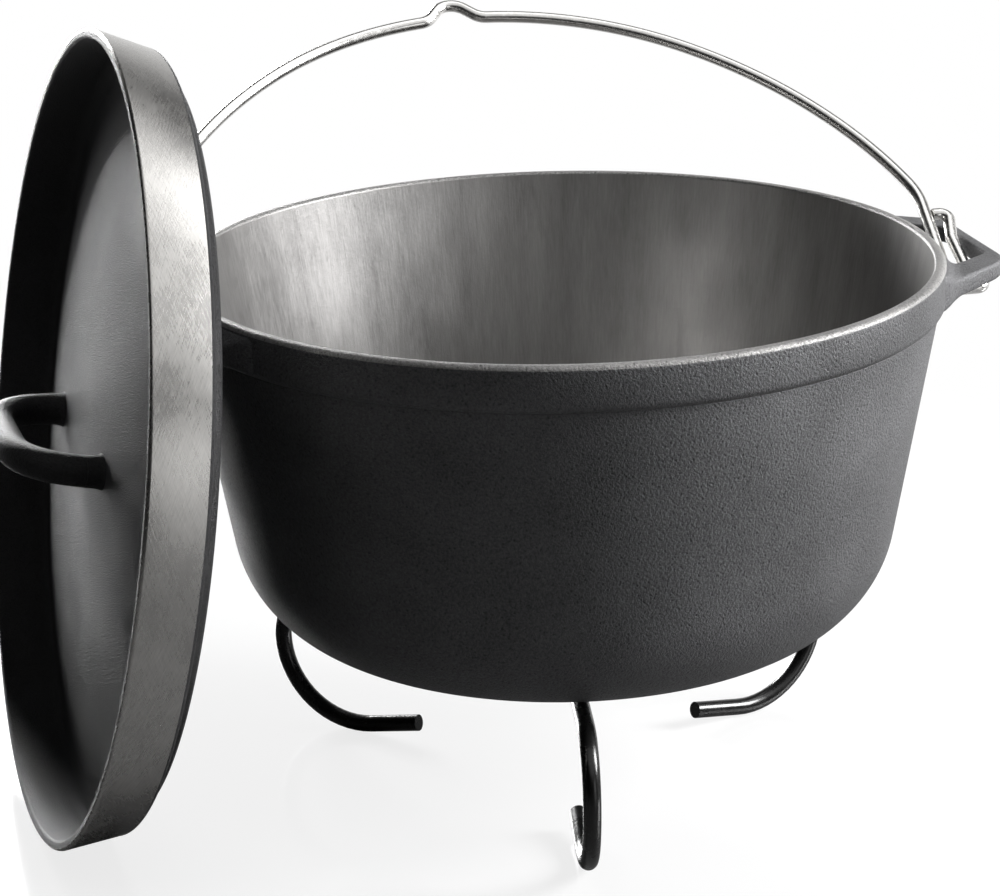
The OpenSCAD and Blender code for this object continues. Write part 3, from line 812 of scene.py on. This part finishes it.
def add_leg(s, name, turn, finish):
    """One leg, seated by its own node of the frame. The arm starts at the middle, where it is mitred."""
    rod_r = s.rod_d / 2
    top_bend = s.stand_h - s.rod_d - s.foot_bend
    arm = s.foot_reach + s.foot_bend - top_bend
    bm = bmesh.new()
    bar = Bar(bm, rod_r, heading=math.pi / 2)
    bar.follow([
        ("run", arm), ("bend", top_bend, math.pi / 2),
        ("bend", s.foot_bend, math.pi / 2 + s.tail_rise), ("run", s.tail_len),
    ])
    tail_end = min((f for f in bm.faces if len(f.verts) > 8), key=lambda f: f.calc_center_median().z)
    tail_break = 0.0006
    bmesh.ops.bevel(
        bm, geom=list(tail_end.edges), offset=tail_break, offset_type="OFFSET", affect="EDGES",
        segments=3, profile=0.5, material=-1,
    )
    for side in (-1, 1):
        cut = Vector((-math.sin(math.pi / 3), side * math.cos(math.pi / 3), 0))
        whole = bm.verts[:] + bm.edges[:] + bm.faces[:]
        made = bmesh.ops.bisect_plane(bm, geom=whole, plane_co=(0, 0, 0), plane_no=cut, clear_outer=True)
        rim = [g for g in made["geom_cut"] if isinstance(g, bmesh.types.BMEdge)]
        bmesh.ops.holes_fill(bm, edges=rim)
    bmesh.ops.recalc_face_normals(bm, faces=bm.faces)
    seat(bm, name, Matrix.Rotation(turn, 4, "Z"))
    return add_piece(bm, name + "_rod", name, "oven", [finish])


class CAMPOVEN_OT_add_pot(bpy.types.Operator):
    """Adds the pot with its two ears"""

    bl_idname = "camp_oven.add_pot"
    bl_label = "Add Pot"
    bl_options = {"REGISTER", "UNDO"}

    def execute(self, context):
        add_pot(context.scene.camp_oven.pot)
        return {"FINISHED"}


class CAMPOVEN_OT_add_lid(bpy.types.Operator):
    """Adds the lid, leaning on one ear"""

    bl_idname = "camp_oven.add_lid"
    bl_label = "Add Lid"
    bl_options = {"REGISTER", "UNDO"}

    def execute(self, context):
        add_lid(context.scene.camp_oven.lid, context.scene.camp_oven.pot)
        return {"FINISHED"}


class CAMPOVEN_OT_add_bail(bpy.types.Operator):
    """Adds the wire bail"""

    bl_idname = "camp_oven.add_bail"
    bl_label = "Add Bail"
    bl_options = {"REGISTER", "UNDO"}

    def execute(self, context):
        add_bail(context.scene.camp_oven.bail, context.scene.camp_oven.pot)
        return {"FINISHED"}


class CAMPOVEN_OT_add_stand(bpy.types.Operator):
    """Adds the stand's three bent rods"""

    bl_idname = "camp_oven.add_stand"
    bl_label = "Add Stand"
    bl_options = {"REGISTER", "UNDO"}

    def execute(self, context):
        settings = context.scene.camp_oven.stand
        finish = gloss_black("stand_gloss_black", settings.black)
        for i, name in enumerate(("front_leg", "right_leg", "left_leg")):
            add_leg(settings, name, settings.front_leg_angle + i * TAU / 3, finish)
        return {"FINISHED"}


def add_floor(settings):
    """A white floor that keeps the shadows near the oven and is plain white far from it."""
    floor_r = 6.0
    ground = Matrix.Translation((0, 0, cad_box[0].z))
    bm = bmesh.new()
    bmesh.ops.create_circle(bm, cap_ends=True, radius=floor_r, segments=96, matrix=ground)
    mesh = bpy.data.meshes.new("floor")
    bm.to_mesh(mesh)
    bm.free()
    f = Finish("floor_white")
    path = f.add("ShaderNodeLightPath")
    clean = f.calc("MAXIMUM", path["Is Camera Ray"], f.calc("MULTIPLY", path["Is Glossy Ray"], 0.1))
    white = f.blend(clean, scaled(settings.floor_white, 0.12), scaled(settings.floor_white, 1.0))
    sheen = {"Base Color": white, "Roughness": 0.1, "Specular IOR Level": 0.5}
    lit = f.add("ShaderNodeBsdfPrincipled", sheen)["BSDF"]
    glow = f.add("ShaderNodeEmission", {"Color": (1, 1, 1, 1), "Strength": 1.0})["Emission"]
    near = f.span(f.reach(f.where), 0.2, 0.5, 0.8, 1.0)
    behind = f.span(f.toward(f.where, (0.5, 0.87, 0.0)), 0.1, 0.6, 0.0, 1.0)
    camera_part = f.calc("MULTIPLY", near, path["Is Camera Ray"])
    gloss_part = f.calc("MULTIPLY", behind, path["Is Glossy Ray"])
    plain = f.calc("MAXIMUM", camera_part, gloss_part)
    mixed = f.add("ShaderNodeMixShader", {"Fac": plain, 1: lit, 2: glow})["Shader"]
    f.add("ShaderNodeOutputMaterial", {"Surface": mixed})
    mesh.materials.append(f.material)
    floor = bpy.data.objects.new("floor", mesh)
    bpy.context.scene.collection.objects.link(floor)


def add_world(settings):
    """White all round for the camera. Metal sees white behind and above the oven and a dim room in front."""
    world = bpy.data.worlds.new("studio")
    bpy.context.scene.world = world
    world.use_nodes = True
    n = Nodes(world.node_tree)
    path = n.add("ShaderNodeLightPath")
    way = n.add("ShaderNodeTexCoord")["Generated"]
    soft = {"interpolation_type": "SMOOTHSTEP"}
    backdrop = n.span(n.toward(way, (0.45, 0.82, -0.3)), 0.45, 0.95, settings.room, 1.0, **soft)
    canopy = n.span(n.toward(way, (0.15, -0.35, 0.92)), 0.6, 0.95, 0.0, 0.9, **soft)
    mirrored = n.calc("MAXIMUM", backdrop, canopy)
    parts = {0: path["Is Glossy Ray"], 2: settings.ambient, 3: mirrored}
    shown = n.add("ShaderNodeMix", parts, data_type="FLOAT")[0]
    seen = n.calc("MAXIMUM", path["Is Camera Ray"], path["Is Transmission Ray"])
    strength = n.add("ShaderNodeMix", {0: seen, 2: shown, 3: 1.0}, data_type="FLOAT")[0]
    back = n.add("ShaderNodeBackground", {"Color": (1, 1, 1, 1), "Strength": strength})["Background"]
    n.add("ShaderNodeOutputWorld", {"Surface": back})


def add_lamp(name, at, aim, size, watts):
    lamp = bpy.data.lights.new(name, "AREA")
    lamp.shape = "RECTANGLE"
    lamp.size, lamp.size_y = size
    lamp.energy = watts
    holder = bpy.data.objects.new(name, lamp)
    bpy.context.scene.collection.objects.link(holder)
    way = Vector(aim) - Vector(at)
    holder.matrix_world = Matrix.Translation(at) @ way.to_track_quat("-Z", "Y").to_matrix().to_4x4()


def add_camera(s):
    across, dip, roll = s.camera_heading, s.camera_dip, s.camera_roll
    ahead = Vector((math.cos(across) * math.cos(dip), math.sin(across) * math.cos(dip), -math.sin(dip)))
    right = Vector((math.sin(across), -math.cos(across), 0))
    up = right.cross(ahead)
    view_right = math.cos(roll) * right + math.sin(roll) * up
    view_up = math.cos(roll) * up - math.sin(roll) * right
    camera = bpy.data.cameras.new("camera")
    camera.lens = s.lens
    camera.sensor_width = 36.0
    camera.clip_start = 0.01
    holder = bpy.data.objects.new("camera", camera)
    bpy.context.scene.collection.objects.link(holder)
    place = Matrix((view_right, view_up, -ahead)).transposed().to_4x4()
    holder.matrix_world = Matrix.Translation((s.camera_x, s.camera_y, s.camera_z)) @ place
    bpy.context.scene.camera = holder


class CAMPOVEN_OT_add_stage(bpy.types.Operator):
    """Adds the floor, the studio lamps and the camera"""

    bl_idname = "camp_oven.add_stage"
    bl_label = "Add Stage"
    bl_options = {"REGISTER", "UNDO"}

    def execute(self, context):
        s = context.scene.camp_oven.stage
        add_camera(s)
        add_floor(s)
        add_world(s)
        add_lamp("right_softbox", (1.1, -0.33, 0.6), (0.0, 0.0, 0.05), (0.5, 0.6), s.side_watts)
        add_lamp("upper_right_softbox", (0.78, 0.0, 1.08), (-0.1, 0.0, 0.05), (0.5, 0.6), s.upper_watts)
        add_lamp("front_fill", (0.72, -1.45, 0.25), (0.0, 0.0, 0.05), (0.6, 0.6), s.fill_watts)
        add_lamp("overhead_softbox", (0.3, 0.35, 1.4), (0.0, 0.05, 0.0), (0.9, 0.7), s.top_watts)
        add_lamp("back_softbox", (-0.25, 1.3, 0.3), (-0.15, 0.0, 0.08), (0.4, 0.6), s.back_watts)
        context.scene.view_settings.view_transform = "Standard"
        return {"FINISHED"}


class CAMPOVEN_PT_sidebar(bpy.types.Panel):
    """The camp oven's sizes, colours and pieces"""

    bl_label = "Camp Oven"
    bl_idname = "CAMPOVEN_PT_sidebar"
    bl_space_type = "VIEW_3D"
    bl_region_type = "UI"
    bl_category = "Camp Oven"

    def draw(self, context):
        for operator, settings in (
            (CAMPOVEN_OT_add_stage, "stage"), (CAMPOVEN_OT_add_pot, "pot"), (CAMPOVEN_OT_add_lid, "lid"),
            (CAMPOVEN_OT_add_bail, "bail"), (CAMPOVEN_OT_add_stand, "stand"),
        ):
            box = self.layout.box()
            box.operator(operator.bl_idname)
            group = getattr(context.scene.camp_oven, settings)
            for name in group.__annotations__:
                box.prop(group, name)


CLASSES = (
    PotSettings, LidSettings, BailSettings, StandSettings, StageSettings, OvenSettings,
    CAMPOVEN_OT_add_pot, CAMPOVEN_OT_add_lid, CAMPOVEN_OT_add_bail, CAMPOVEN_OT_add_stand,
    CAMPOVEN_OT_add_stage, CAMPOVEN_PT_sidebar,
)


def register():
    for cls in CLASSES:
        bpy.utils.register_class(cls)
    bpy.types.Scene.camp_oven = PointerProperty(type=OvenSettings)


def unregister():
    del bpy.types.Scene.camp_oven
    for cls in reversed(CLASSES):
        bpy.utils.unregister_class(cls)


def main():
    register()
    bpy.ops.camp_oven.add_stage()
    bpy.ops.camp_oven.add_pot()
    bpy.ops.camp_oven.add_lid()
    bpy.ops.camp_oven.add_bail()
    bpy.ops.camp_oven.add_stand()


if __name__ == "__main__":
    main()
